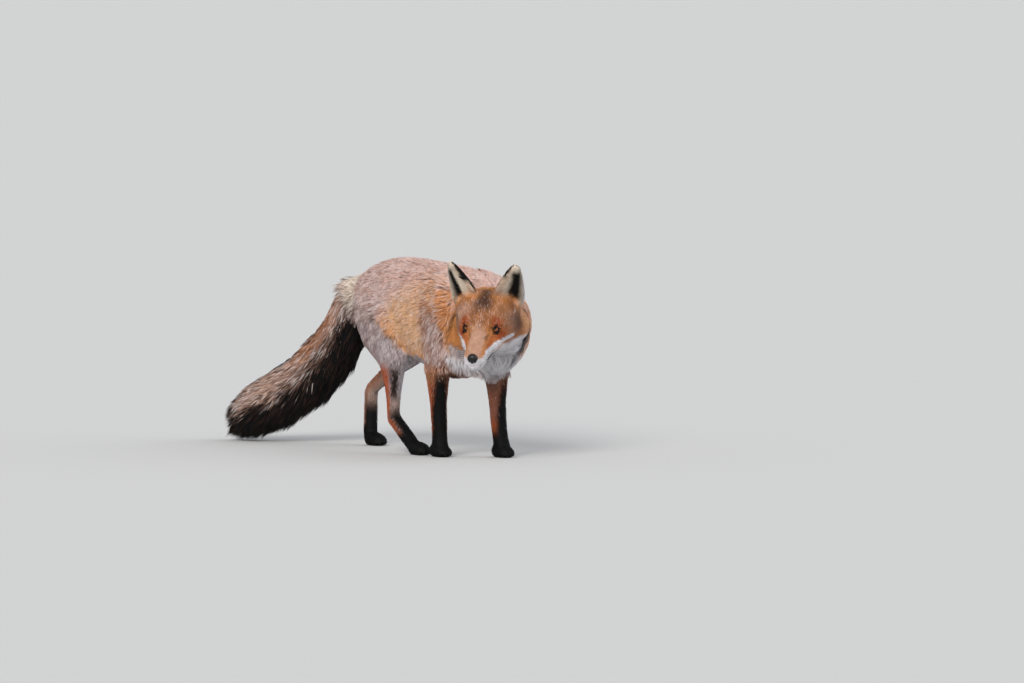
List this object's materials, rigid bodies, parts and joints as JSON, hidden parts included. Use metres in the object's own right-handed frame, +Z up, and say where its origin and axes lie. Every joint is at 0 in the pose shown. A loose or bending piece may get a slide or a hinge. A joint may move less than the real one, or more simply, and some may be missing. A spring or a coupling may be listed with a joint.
{
  "type": "red fox model",
  "caption": "Life-size red fox in mid step, head low and turned to its right, long brush of a tail trailing down behind.",
  "frame": {"origin": "on the floor, under the middle of the fox's bounding box", "axes": "-Y is the way the trunk heads, +X the fox's left, +Z up; the head is turned towards -X"},
  "size_m": [0.237, 0.8702, 0.3827],
  "materials": {
    "coat": "rust-orange fur, grizzled with silver, white below",
    "coat_dark": "black fur on the stockings, the tail's tip and the ears' backs",
    "eye": "wet amber iris with a dark upright pupil",
    "nose": "moist black leather-like skin",
    "claw": "dark horn"
  },
  "bodies": {
    "root": {"muzzle": "coat", "head": "coat", "ear_left": "coat_dark", "ear_right": "coat_dark", "eye_left": "eye", "eye_right": "eye", "nose": "nose", "neck": "coat", "chest": "coat", "loin": "coat", "thigh_left": "coat", "thigh_right": "coat", "foreleg_left": "coat_dark", "foreleg_right": "coat_dark", "hindfoot_left": "coat_dark", "hindfoot_right": "coat_dark", "paw_foreleft": "coat_dark", "paw_foreright": "coat_dark", "paw_hindleft": "coat_dark", "paw_hindright": "coat_dark", "tail_root": "coat", "tail_middle": "coat", "tail_end": "coat_dark"}
  },
  "joints": []
}
